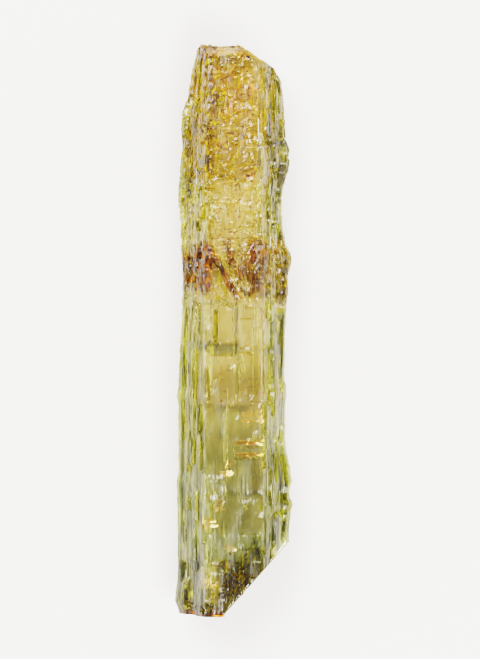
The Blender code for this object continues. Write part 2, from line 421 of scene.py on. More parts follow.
# each zone of a tint is a soft box seen from the front: left, right, foot, top, how softly it ends, its
# share, and the grain that breaks it up, where it isn't plain
tintZones = dict(
    # painted sheen: where the other tints thin out, the glass shows lighter in strips and patches, as
    # painted reflection of light on the flanks and the front
    painted_sheen=(
        (5.6, 10.8, 28, 95, 0.8, 0.55, "thread"), (4, 5.2, 72.6, 84.4, 0.4, 0.6),
        (-2.6, -1.9, 85.4, 88.4, 0.3, 0.4), (-10.8, -5.6, 62, 75, 0.9, 0.5, "thread"),
        (-10.8, -4.4, 2.5, 24, 0.9, 0.55, "thread"), (-1.9, -1.3, 27, 36, 0.2, 0.9),
        (-5.1, 2.6, 8.7, 14.2, 1, 0.35),
    ),
    cream=(
        (-5.4, 5.2, 53, 101, 1.5, 0.85), (-5.4, 5, 36, 56, 1.5, 0.7),
        (-4, 1.5, 71.5, 77, 1.5, 0.6), (3.4, 5.5, 37, 51, 0.5, 0.9),
        (5.6, 6.6, 60, 92, 0.6, 0.9, "streak"), (-7.5, -5, 48, 66, 0.8, 0.5, "streak"),
        (4.4, 5.6, 22.8, 27.7, 0.4, 0.8),
    ),
    gold=(
        (-5.2, 4.2, 86, 96.5, 2.5, 0.75), (-5.2, 4.6, 76, 88, 3, 0.3),
        (-9, -4.4, 78, 97, 1.5, 0.9, "mottle"), (-4.6, 4.4, 76, 88, 2, 0.5, "pane"),
        (-4.6, 4.4, 58, 76, 2, 0.18, "pane"), (5.2, 6.6, 85.4, 87.6, 0.5, 0.9),
        (8, 9, 75.4, 79, 0.3, 1), (-6.2, -3, 97.2, 101, 0.5, 1),
        (5.8, 10.6, 86, 94, 1, 0.5, "streak"),
    ),
    smoke=(
        (-5.2, 5.2, 10, 34, 4, 1), (-5.2, 5.2, 33, 44, 3, 0.65),
        (-5.2, 5.2, 44, 56, 3, 0.3), (-4.4, 4.4, 77, 88, 2.5, 0.35),
        (-4.4, 4.4, 76, 96, 2, 0.6, "pane"), (-4.4, 4.4, 60, 76, 2, 0.1, "pane"),
        (5.4, 10.8, 54, 97, 1.2, 0.45), (-9.8, -4, -1, 4.5, 1.2, 0.8),
    ),
    # olive streaks and painted shade that darken the flanks and the right edge of the front
    painted_shade_and_olive=(
        (5.4, 10.8, 12, 53, 0.8, 0.9, "streak"), (5.4, 10.8, 66, 97, 0.8, 1, "streak"),
        (-10.8, -5.4, 2, 28, 0.8, 0.85, "streak"), (-10.8, -5.4, 28, 78, 0.8, 0.6, "streak"),
        (7.4, 10.8, 67, 96, 0.8, 0.7, "mottle"), (4.2, 5.2, 56, 92, 0.4, 0.5, "streak"),
    ),
    amber=(
        (-9.6, -3.7, 55.5, 65, 0.9, 0.8, "mottle"), (2.7, 6.6, 56, 66, 1, 0.7),
        (7, 10.8, 53.5, 66, 1, 0.8, "streak"), (-6.4, -2.8, 96.6, 101, 0.6, 0.9),
        (7.2, 9, 85.5, 87.5, 0.7, 0.9, "mottle"), (5.2, 6.8, 83, 88.5, 0.6, 0.8, "mottle"),
        (9, 10.8, 70, 78, 0.5, 0.8, "streak"), (-4.4, 3.6, 96, 100, 0.8, 0.35, "mottle"),
    ),
    stain=(
        (-2.4, 2.6, 3.2, 7.6, 1.2, 0.9), (-3, 9.5, -0.5, 9.6, 1.4, 0.42),
        (0, 9.5, 4, 12, 1.6, 0.4, "mottle"),
    ),
    ember=(
        (-9.9, -1.7, -1, 0.7, 0.5, 1),
    ),
    ochre=(
        (-8.6, -3.8, 76, 98, 1.2, 1), (-7, -4.6, 62, 76, 1, 0.5, "mottle"),
        (-6.6, -2.4, 87.4, 92.4, 0.9, 1, "mottle"), (-7.4, -4, 92, 97, 0.9, 0.9, "mottle"),
        (-8, -3.4, 81.5, 87, 0.9, 1, "mottle"), (-7.4, -4, 76.5, 81.5, 0.9, 0.9, "mottle"),
        (-4.2, 0.5, 88.4, 91, 0.9, 0.5, "mottle"), (-4.4, 4.4, 76, 96, 1.5, 0.2, "mottle"),
    ),
    haze=(
        (-5.2, 5.2, 13, 29, 2, 0.45), (-5.2, 5.2, 8.4, 14.4, 1.5, 0.8),
    ),
    tan=(
        (-5.2, 5, 25, 43, 2, 0.65), (-6.1, -1.9, 27, 38, 0.6, 0.6),
        (-3.5, 5.2, 14.5, 28, 1.5, 0.9),
    ),
    # random tone of panes, and painted shade in the sunk panes, along the ledges and over the flanks
    slate_and_painted_shade=(
        (-4.4, 0.7, 45.7, 47.8, 0.3, 1), (1, 3.2, 46.3, 46.9, 0.2, 0.9),
        (-4.4, -0.6, 54.4, 55.2, 0.3, 0.5), (0.4, 1, 38.7, 48.3, 0.2, 0.7),
        (-3.9, 2.4, 35.7, 36.8, 0.4, 0.7), (-1.3, 5.9, 20.9, 21.8, 0.5, 0.6),
        (4.1, 5.1, 73, 84, 0.3, 0.5, "streak"), (-5, 4.8, 57, 96, 2, 0.2, "pane"),
        (5.4, 10.6, 12, 95, 1, 0.3), (-10.6, -5.6, 2, 95, 1, 0.22),
        (-5.1, 2.6, 8.7, 14.2, 1, 0.5), (6.4, 8.6, 82.5, 88.5, 0.7, 0.8, "mottle"),
        (5.6, 10.6, 28, 53, 1, 0.4, "mottle"), (5.6, 10.6, 67, 92, 1, 0.5, "mottle"),
        (-10.5, -5, 3, 24, 1, 0.6, "streak"), (-5, 5, 12, 50, 1.5, 0.16, "pane"),
    ),
    olive=(
        (-10.2, -5.4, 25, 54, 0.8, 0.4), (-10.2, -5.4, 54, 76, 0.8, 0.25),
        (5.2, 10.2, 13, 28, 0.9, 0.6), (5.2, 10.4, 28, 97, 0.9, 0.15),
        (5.4, 10.2, 84, 94, 1.2, 0.25), (-9.4, -6, 80, 90, 1, 0.8, "mottle"),
        (-9.6, -6.4, 75, 86, 0.9, 0.9, "mottle"), (-6.6, -4, 77.6, 81.2, 0.7, 1, "mottle"),
        (-10.4, -6.6, 66, 78, 0.8, 1, "mottle"), (-7, -4, 62, 76, 0.8, 0.6, "mottle"),
        (-8.3, -6.8, 25.2, 47, 0.4, 1, "streak"), (-6.3, -4.4, 36, 47.5, 0.5, 1, "streak"),
        (-10.2, -8.6, 24, 50, 0.5, 0.8, "streak"), (-6.9, -3, 46.4, 49.8, 0.6, 1, "mottle"),
        (-3.5, -2.9, 48, 53.4, 0.3, 1), (-6, -5.25, 25.7, 34.1, 0.3, 1),
        (2.8, 4, 38.5, 45.5, 0.6, 0.12), (5.4, 10.2, 13, 29, 0.9, 1, "streak"),
        (6.2, 8.9, 80.5, 85.5, 0.7, 0.9, "mottle"), (6.4, 7.5, 88.2, 89.6, 0.4, 1, "mottle"),
        (6.4, 10.2, 66, 80, 1, 0.7, "streak"), (6, 10.2, 30, 54, 1, 0.5, "streak"),
        (-7, -5.9, 8.5, 15, 0.4, 1, "streak"), (-10, -8.4, 2, 24, 0.6, 0.8, "streak"),
        (-9.8, -0.5, -1, 2.6, 0.9, 0.7), (-2.8, 9.5, 0.8, 9.8, 1.2, 0.95),
        (2.6, 6.6, 9.3, 13.6, 0.8, 1, "mottle"), (-9.8, 9.8, 56, 62, 2.5, 0.35, "mottle"),
    ),
    rust=(
        (-6.9, -3.9, 56, 64, 0.8, 0.95, "streak"), (-9.4, -6.6, 57, 62.6, 0.8, 0.6, "streak"),
        (2.9, 6.3, 56.5, 65.5, 0.9, 0.85, "mottle"), (7.2, 10.6, 54, 65, 0.9, 0.35, "mottle"),
        (-6.2, -3.2, 97.6, 101, 0.6, 0.5, "mottle"),
    ),
)


def softSpan(value, low, high, fade):
    return np.clip((value - low) / fade + 0.5, 0, 1) * np.clip((high - value) / fade + 0.5, 0, 1)


def softBox(x, height, left, right, foot, top, fade):
    return softSpan(x, left, right, fade) * softSpan(height, foot, top, fade)


def windowShare(x, height, recipes):
    share = np.zeros(height.shape)
    for *box, lost in recipes:
        share = np.maximum(share, softBox(x, height, *box) * lost)
    return share


def cellNoise(first, second, cell, rng):
    # one random level for each brick of a wall, every column of bricks shifted along the crystal
    size = 97  # bricks before the wall repeats
    levels = np.array([[rng.random() for _ in range(size)] for _ in range(size)])
    shifts = np.array([rng.random() for _ in range(size)])
    column = np.floor(first / cell[0]).astype(int) % size
    return levels[column, np.floor(second / cell[1] + shifts[column]).astype(int) % size]


def tintsOf(x, height, place, steps, zones, recipe, rng):
    # zones lie over each other like layers of coloured glass, and the painted sheen thins all of them, so
    # its strips are lighter as painted reflection
    def contrast(noise, levels):
        return np.clip((noise - levels[0]) / (levels[1] - levels[0]), 0, 1)

    streak, mottle, fray, sway = [
        layeredNoise(softNoise, place, height, recipe[name], rng)
        for name in ("streak", "mottle", "fray", "sway")
    ]
    pane = layeredNoise(cellNoise, place + sway, height + sway, recipe["pane"], rng)
    grains = dict(
        streak=contrast(streak, recipe["streakLevels"]), thread=contrast(-streak, recipe["threadLevels"]),
        mottle=contrast(mottle, recipe["mottleLevels"]), pane=contrast(pane, recipe["paneLevels"]),
    )
    # ledges where the relief drops sharply are darkened: painted shade
    shares = dict(step=steps)
    for name, boxes in zones.items():
        share = np.zeros(x.shape)
        for left, right, foot, top, fade, strength, *grain in boxes:
            edge = fray * fade
            inside = softBox(x + edge, height + edge, left, right, foot, top, fade) * strength
            share = np.maximum(share, inside * grains[grain[0]] if grain else inside)
        shares[name] = share
    thinned = 1 - recipe["paintedSheenThins"] * shares.pop("painted_sheen")
    layers = sum(share[:, None] * np.log(tintColours[name]) for name, share in shares.items())
    return np.exp(layers * thinned[:, None] + np.log(tintColours["pale"]))


# The skin as a mesh

def skinDepth(grid, place, recipe, rng):
    # how deep the skin is cut at each grid point. The ends and the back face, on which it rests, stay uncut
    height = grid[:, :, 1] - lowerEnd
    # how far clockwise of the front or the back face, counted in faces
    beyond = np.abs(place % (3 * faceWidth) / faceWidth - 0.5) - 0.5
    flank = np.clip(beyond, 0, recipe["flankFade"]) / recipe["flankFade"]
    depth = ridgeDepth(place, height, ridgeRecipes, rng)
    depth *= recipe["faceRidges"] + recipe["flankRidges"] * flank
    depth += blockDepth(place, height, blockRecipes, rng)
    front = grid[:, :, 2] > apothem
    depth *= 1 - np.where(front, windowShare(grid[:, :, 0], height, windowRecipes), 0)
    depth += pitDepth(place, height, pitRecipe, rng)
    depth += np.where(front, paneDepth(grid[:, :, 0], height, paneRecipes), 0)
    depth[: recipe["lowCapRows"]] = 0
    depth[-recipe["highCapRows"]:] = 0
    return np.where((place > 3 * faceWidth) & (place < 4 * faceWidth), 0, depth)


def gridFaces(rows, columns):
    # rings of quads, closed by a fan of triangles about the pole at each end
    nextTo = [(c, (c + 1) % columns) for c in range(columns)]
    faces = []
    for start in range(0, (rows - 1) * columns, columns):
        faces += [(start + c, start + d, start + columns + d, start + columns + c) for c, d in nextTo]
    bottom, top, last = rows * columns, rows * columns + 1, (rows - 1) * columns
    for c, d in nextTo:
        faces += [(bottom, d, c), (top, last + c, last + d)]
    return faces


def etchedBody(recipe):
    rng = random.Random(recipe["seed"])
    grid, poles, places = castSurface(recipe, rng)
    rows, columns, _ = grid.shape
    place = np.broadcast_to(places, (rows, columns))
    depth = skinDepth(grid, place, recipe, rng)
    axis = np.stack([np.zeros((rows, columns)), grid[:, :, 1], np.full((rows, columns), apothem)], axis=2)
    grid = axis + (grid - axis) * (1 - depth / apothem)[:, :, None]
    grid[:, :, 2] = np.maximum(grid[:, :, 2], 0)
    # where the relief drops sharply, the skin is darkened later as painted shade
    drop = np.abs(np.diff(depth, axis=0, append=depth[-1:])) + np.abs(depth - np.roll(depth, -1, axis=1))
    steps = np.clip((drop - recipe["stepDrop"]) / recipe["stepSpan"], 0, 1)
    points = np.concatenate([grid.reshape(-1, 3), np.array(poles)])
    place, steps = [np.append(values.reshape(-1), [0, 0]) for values in (place, steps)]

    # the broken end is cut back along the crystal. The last two points are the poles, the lower one first
    fromRim = (np.arange(len(points)) // columns - (rows - recipe["highCapRows"])) / endRecipe["rimRows"]
    share = np.clip(fromRim, 0, 1)
    share[-2] = 0
    points[:, 1] -= endDepth(points[:, 0], points[:, 2], endRecipe, rng) * share

    mesh = bpy.data.meshes.new("beryl_body")
    mesh.from_pydata(points * mm, [], gridFaces(rows, columns))
    mesh.shade_smooth()
    mesh.set_sharp_from_angle(angle=math.radians(recipe["sharpAngle"]))
    tints = tintsOf(points[:, 0], points[:, 1] - lowerEnd, place, steps, tintZones, grainRecipe, rng)
    colours = np.column_stack([tints, np.ones(len(tints))]).astype(np.float32)
    mesh.color_attributes.new("tint", "FLOAT_COLOR", "POINT").data.foreach_set("color", colours.reshape(-1))
    return addObject("beryl_body", mesh)


# each noise is its bumps per mm, how they are stretched, and its detail
berylLook = dict(
    ior=1.575, transmission=1.0,
    absorption=(0.985, 0.965, 0.56, 1.0), density=30.0,
    cloudy=(0.92, 0.90, 0.80, 1.0), cloudNoise=(1.6, (1, 0.35, 1), 4.0), cloudLevels=(0.45, 0.7),
    smooth=0.10, frosted=0.36, frostNoise=(0.5, (1, 0.2, 1), 3.0), frostLevels=(0.42, 0.72),
    grooveNoise=(3.2, (1, 0.1, 1), 2.0), grooveStrength=0.6, grooveDepth=0.06,
)


def berylMaterial(look):
    material, tree, shader = addMaterial("golden_beryl")
    tint = addNode(tree, "ShaderNodeAttribute", attribute_type="GEOMETRY", attribute_name="tint")
    clouds = rampNode(tree, noiseNode(tree, *look["cloudNoise"]), *look["cloudLevels"])
    frost = noiseNode(tree, *look["frostNoise"])
    grooves = addNode(tree, "ShaderNodeBump")
    setInputs(
        grooves, Strength=look["grooveStrength"], Distance=look["grooveDepth"] * mm,
        Height=noiseNode(tree, *look["grooveNoise"]),
    )
    setInputs(
        shader, IOR=look["ior"], Transmission_Weight=look["transmission"],
        Base_Color=mixColour(tree, clouds, tint.outputs["Color"], look["cloudy"], "MULTIPLY"),
        Roughness=rampNode(tree, frost, *look["frostLevels"], look["smooth"], look["frosted"]),
        Normal=grooves.outputs[0],
    )
    absorb = addNode(tree, "ShaderNodeVolumeAbsorption")
    setInputs(absorb, Color=look["absorption"], Density=look["density"])
    setInputs(tree.nodes["Material Output"], Volume=absorb.outputs[0])
    return material


body = etchedBody(bodyRecipe)
body.data.materials.append(berylMaterial(berylLook))
print("etched body:", len(body.data.polygons), "faces")
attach(body, "root")
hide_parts("beryl_crystal")


# What the crystal encloses: needles, cracks and flakes scattered a little under its surface, and pale strips
# and specks that are painted highlights and sheen

scatterInputs = dict(
    Object=("Crystal",), Int=("Count", "Seed"), Vector=("Corner low", "Corner high"), Material=("Material",),
    Float=(
        "Slant", "Depth low", "Depth high", "Lean", "Lean spread", "Width low", "Width high", "Length low",
        "Length high", "Thickness", "Taper", "Crumple", "Follow",
    ),
)

# fixed values of the tree, lengths in mm
scatterFixed = dict(
    rayHeight=100.0, rayLength=200.0,  # the rays start well above the crystal and end below it
    edgeReach=1.2,                     # how near a long edge the pieces start to turn along it
    sides=6, rings=2,                  # of one prism
    crumpleScale=0.9,                  # bumps per mm of the noise that crumples the prisms
)


def randomBetween(tree, low, high, seed, turn, vector=False):
    # a random number or vector for each point, every call with its own turn of the seed
    node = addNode(tree, "FunctionNodeRandomValue", data_type="FLOAT_VECTOR" if vector else "FLOAT")
    first = 0 if vector else 2  # where this data type's Min and Max stand among the node's sockets
    wire(node.inputs[first], low)
    wire(node.inputs[first + 1], high)
    setInputs(node, Seed=mathNode(tree, "ADD", seed, turn))
    return node.outputs[0 if vector else 1]


def droppedRays(tree, given, fixed):
    # random spots in a box above the crystal, and the rays that drop from them onto it
    spot = randomBetween(tree, given["Corner low"], given["Corner high"], given["Seed"], 0, vector=True)
    parts = addNode(tree, "ShaderNodeSeparateXYZ")
    wire(parts.inputs[0], spot)
    across, along = parts.outputs["X"], parts.outputs["Y"]
    slanted = mathNode(tree, "MULTIPLY_ADD", along, given["Slant"], across)
    above = addNode(tree, "ShaderNodeCombineXYZ")
    setInputs(above, X=slanted, Y=along, Z=fixed["rayHeight"] * mm)
    crystal = addNode(tree, "GeometryNodeObjectInfo")
    setInputs(crystal, Object=given["Crystal"])
    ray = addNode(tree, "GeometryNodeRaycast")
    setInputs(
        ray, Target_Geometry=crystal.outputs["Geometry"], Source_Position=above.outputs[0],
        Ray_Direction=(0, 0, -1), Ray_Length=fixed["rayLength"] * mm,
    )
    return across, ray.outputs


def layNormal(tree, given, across, found):
    # the normal that a piece lies by: where Follow is 1, the one found on the skin, and where it is 0, that
    # of the prism face, told by how far across the spot was before any slant
    onFlank = mathNode(tree, "GREATER_THAN", mathNode(tree, "ABSOLUTE", across), faceWidth / 2 * mm)
    sideways = mathNode(tree, "MULTIPLY", onFlank, math.sqrt(3) / 2)  # a flank is turned by 60 degrees
    sideways = mathNode(tree, "MULTIPLY", mathNode(tree, "SIGN", across), sideways)
    face = addNode(tree, "ShaderNodeCombineXYZ")
    setInputs(face, X=sideways, Z=mathNode(tree, "MULTIPLY_ADD", onFlank, -0.5, 1.0))
    skin = vectorNode(tree, "SCALE", found, given["Follow"])
    ruled = vectorNode(tree, "SCALE", face.outputs[0], mathNode(tree, "SUBTRACT", 1.0, given["Follow"]))
    return vectorNode(tree, "ADD", skin, ruled)


def layCourse(tree, given, across, normal, fixed):
    # the way a piece's length runs. Near a long edge it runs along it, so that none crosses the edge and
    # comes out of the other face
    leanShare = randomBetween(tree, -1.0, 1.0, given["Seed"], 2)
    lean = mathNode(tree, "MULTIPLY_ADD", leanShare, given["Lean spread"], given["Lean"])
    fromEdge = mathNode(tree, "SUBTRACT", mathNode(tree, "ABSOLUTE", across), faceWidth / 2 * mm)
    fromEdge = mathNode(tree, "ABSOLUTE", fromEdge)
    free = mathNode(tree, "DIVIDE", fromEdge, fixed["edgeReach"] * mm, clamp=True)
    lean = mathNode(tree, "MULTIPLY", lean, mathNode(tree, "MAXIMUM", free, given["Follow"]))
    course = addNode(tree, "ShaderNodeCombineXYZ")
    setInputs(course, X=mathNode(tree, "SINE", lean), Y=mathNode(tree, "COSINE", lean))
    outward = vectorNode(tree, "DOT_PRODUCT", course.outputs[0], normal)
    return vectorNode(tree, "SUBTRACT", course.outputs[0], vectorNode(tree, "SCALE", normal, outward))


def crumpleMesh(tree, given, geometry, fixed):
    noise = addNode(tree, "ShaderNodeTexNoise")
    setInputs(noise, Scale=fixed["crumpleScale"] / mm, Detail=1.0)
    shift = vectorNode(tree, "SUBTRACT", noise.outputs["Color"], (0.5, 0.5, 0.5))
    crumpled = addNode(tree, "GeometryNodeSetPosition")
    setInputs(crumpled, Geometry=geometry, Offset=vectorNode(tree, "SCALE", shift, given["Crumple"]))
    return crumpled.outputs[0]


def scatterTree(fixed):
    # spots on the crystal are sunk a little under its surface, and each gets one tapered prism
    tree = bpy.data.node_groups.new("scatter_under_surface", "GeometryNodeTree")
    for kind, labels in scatterInputs.items():
        for label in labels:
            tree.interface.new_socket(label, in_out="INPUT", socket_type="NodeSocket" + kind)
    tree.interface.new_socket("Geometry", in_out="OUTPUT", socket_type="NodeSocketGeometry")
    given = addNode(tree, "NodeGroupInput").outputs
    seed = given["Seed"]

    across, hit = droppedRays(tree, given, fixed)
    depth = randomBetween(tree, given["Depth low"], given["Depth high"], seed, 1)
    inward = vectorNode(tree, "SCALE", hit["Hit Normal"], depth)
    sunk = vectorNode(tree, "SUBTRACT", hit["Hit Position"], inward)
    points = addNode(tree, "GeometryNodePoints")
    setInputs(points, Count=given["Count"], Position=sunk)
    normal = layNormal(tree, given, across, hit["Hit Normal"])
    turn = addNode(tree, "FunctionNodeAxesToRotation", primary_axis="Z", secondary_axis="X")
    setInputs(turn, Primary_Axis=layCourse(tree, given, across, normal, fixed), Secondary_Axis=normal)

    prism = addNode(tree, "GeometryNodeMeshCone", fill_type="NGON")
    setInputs(
        prism, Vertices=fixed["sides"], Side_Segments=fixed["rings"], Radius_Top=given["Taper"],
        Radius_Bottom=0.5, Depth=1.0,
    )
    size = addNode(tree, "ShaderNodeCombineXYZ")
    setInputs(
        size, X=given["Thickness"], Y=randomBetween(tree, given["Width low"], given["Width high"], seed, 3),
        Z=randomBetween(tree, given["Length low"], given["Length high"], seed, 4),
    )
    placed = addNode(tree, "GeometryNodeInstanceOnPoints")
    setInputs(
        placed, Points=points.outputs[0], Selection=hit["Is Hit"], Instance=prism.outputs["Mesh"],
        Rotation=turn.outputs[0], Scale=size.outputs[0],
    )
    real = addNode(tree, "GeometryNodeRealizeInstances")
    wire(real.inputs[0], placed.outputs[0])
    painted = addNode(tree, "GeometryNodeSetMaterial")
    setInputs(painted, Geometry=crumpleMesh(tree, given, real.outputs[0], fixed), Material=given["Material"])
    wire(addNode(tree, "NodeGroupOutput").inputs[0], painted.outputs[0])
    return tree


def scatterPatch(tree, patch, form, seed, material):
    # runs the tree once for one patch, and gives back a plain mesh
    left, right, foot, top, count, lean, stray, slant = (*patch, 0)[:8]
    depth, width, length, thickness, taper, crumple, follow = form
    holder = addObject("patch_holder", bpy.data.meshes.new("patch_holder"))
    modifier = holder.modifiers.new("scatter", "NODES")
    modifier.node_group = tree
    slope = math.tan(math.radians(slant))
    foot, top = foot + lowerEnd, top + lowerEnd
    shift = slope * (foot + top) / 2  # so that a slanted patch turns about its own middle
    values = {
        "Crystal": body, "Count": count, "Slant": slope,
        "Corner low": ((left - shift) * mm, foot * mm, 0),
        "Corner high": ((right - shift) * mm, top * mm, 0),
        "Depth low": depth[0] * mm, "Depth high": depth[1] * mm,
        "Lean": math.radians(lean), "Lean spread": math.radians(stray),
        "Width low": width[0] * mm, "Width high": width[1] * mm,
        "Length low": length[0] * mm, "Length high": length[1] * mm, "Thickness": thickness * mm,
        "Taper": taper, "Crumple": crumple * mm, "Follow": float(follow),
        "Seed": seed, "Material": material,
    }
    for item in tree.interface.items_tree:
        if item.in_out == "INPUT":
            modifier[item.identifier] = values[item.name]
    bpy.context.view_layer.update()
    graph = bpy.context.evaluated_depsgraph_get()
    mesh = bpy.data.meshes.new_from_object(holder.evaluated_get(graph))
    bpy.data.objects.remove(holder)
    return mesh


def scattered(name, tree, recipe, material):
    # all patches of one piece, each drawn from its own seed, joined as a plain mesh
    joined = bmesh.new()
    for k, patch in enumerate(recipe["patches"]):
        mesh = scatterPatch(tree, patch, inclusionForms[recipe["form"]], recipe["seed"] * 100 + k, material)
        joined.from_mesh(mesh)
        bpy.data.meshes.remove(mesh)
    whole = bpy.data.meshes.new(name)
    joined.to_mesh(whole)
    joined.free()
    whole.materials.append(material)
    piece = addObject(name, whole)
    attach(piece, "root")
    return piece


# each look: its dark and light colour, its roughness, the grain that mixes them in bumps per mm, how clear
# it is, and how much it shines
inclusionLooks = dict(
    rust=((0.10, 0.022, 0.002), (0.60, 0.22, 0.02), 0.5, 1.2, 0, 0.5),
    brown=((0.012, 0.005, 0.001), (0.25, 0.11, 0.008), 0.5, 1.0, 0, 0.5),
    amber=((0.14, 0.035, 0.003), (0.62, 0.28, 0.03), 0.4, 1.4, 0, 0.5),
    # painted highlights: gold bars and specks that stand in for light caught on ledges and cracks
    gold=((0.78, 0.44, 0.08), (0.93, 0.66, 0.24), 0.3, 1.2, 0, 0.5),
    # fracture veils, their pale cream partly a painted reflection of light from the cracks
    cream=((0.86, 0.66, 0.36), (1.0, 0.88, 0.64), 0.4, 0.8, 0.2, 0.5),
    # painted sheen: pale grey strips that stand in for light reflected along the flanks
    painted_sheen=((0.36, 0.39, 0.32), (0.72, 0.74, 0.64), 0.25, 0.6, 0.3, 0.5),
    # painted highlight: near-white strips that stand for lit edges
    rim=((0.78, 0.80, 0.74), (0.97, 0.97, 0.92), 0.4, 0.5, 0, 0.5),
    green=((0.05, 0.052, 0.002), (0.22, 0.212, 0.014), 0.6, 0.9, 0, 0.1),
    ochre=((0.11, 0.075, 0.002), (0.40, 0.285, 0.02), 0.6, 1.4, 0, 0.1),
    ember=((0.36, 0.06, 0.003), (0.80, 0.27, 0.02), 0.6, 0.9, 0, 0.1),
    splinter=((0.05, 0.012, 0.001), (0.42, 0.14, 0.01), 0.6, 1.2, 0, 0.1),
    umber=((0.035, 0.022, 0.002), (0.085, 0.060, 0.006), 0.6, 0.9, 0, 0.1),
    honey=((0.10, 0.052, 0.003), (0.23, 0.135, 0.008), 0.6, 0.9, 0, 0.1),
)
grainStretch, grainDetail, grainLevels = (1, 0.4, 1), 3.0, (0.38, 0.62)


def inclusionMaterial(name, look):
    dark, light, roughness, grain, clear, shine = look
    material, tree, shader = addMaterial(name + "_inclusion")
    share = rampNode(tree, noiseNode(tree, grain, grainStretch, grainDetail), *grainLevels)
    setInputs(
        shader, Base_Color=mixColour(tree, share, (*dark, 1), (*light, 1)), Roughness=roughness,
        Transmission_Weight=clear, Specular_IOR_Level=shine,
    )
    return material


# each form, in mm: how deep it lies, its width, length and thickness, how wide its far end is, where 0.5 is
# as wide as the near end, how crumpled it is, and whether it follows the skin (1) or the prism face (0)
inclusionForms = dict(
    needle=((0.08, 0.7), (0.09, 0.19), (0.9, 2.8), 0.1, 0.1, 0, 0),
    crumb=((0.06, 0.32), (0.14, 0.36), (0.2, 0.8), 0.1, 0.3, 0.4, 0),
    crack=((0.08, 0.45), (0.08, 0.17), (0.4, 1.5), 0.08, 0.2, 0.25, 0),
    veil=((0.3, 2.4), (0.2, 0.7), (0.3, 1.3), 0.04, 0.6, 0.2, 0),
    sheet=((0.2, 0.8), (0.09, 0.26), (2.0, 7.0), 0.05, 0.6, 0, 0),
    bar=((0.14, 0.3), (0.24, 0.46), (0.9, 1.8), 0.1, 0.6, 0.15, 0),
    fleck=((-0.03, 0.10), (0.12, 0.34), (0.25, 1.1), 0.08, 0.4, 0.2, 0),
    thread=((-0.02, 0.12), (0.08, 0.2), (1.2, 5.0), 0.08, 0.4, 0, 0),
    splinter=((-0.02, 0.12), (0.07, 0.15), (0.6, 2.0), 0.07, 0.2, 0, 0),
    chip=((0.0, 0.05), (0.2, 0.45), (0.25, 0.8), 0.06, 0.5, 0, 1.0),
    rim=((-0.03, 0.0), (0.14, 0.22), (1.2, 2.4), 0.06, 0.8, 0, 0),
)

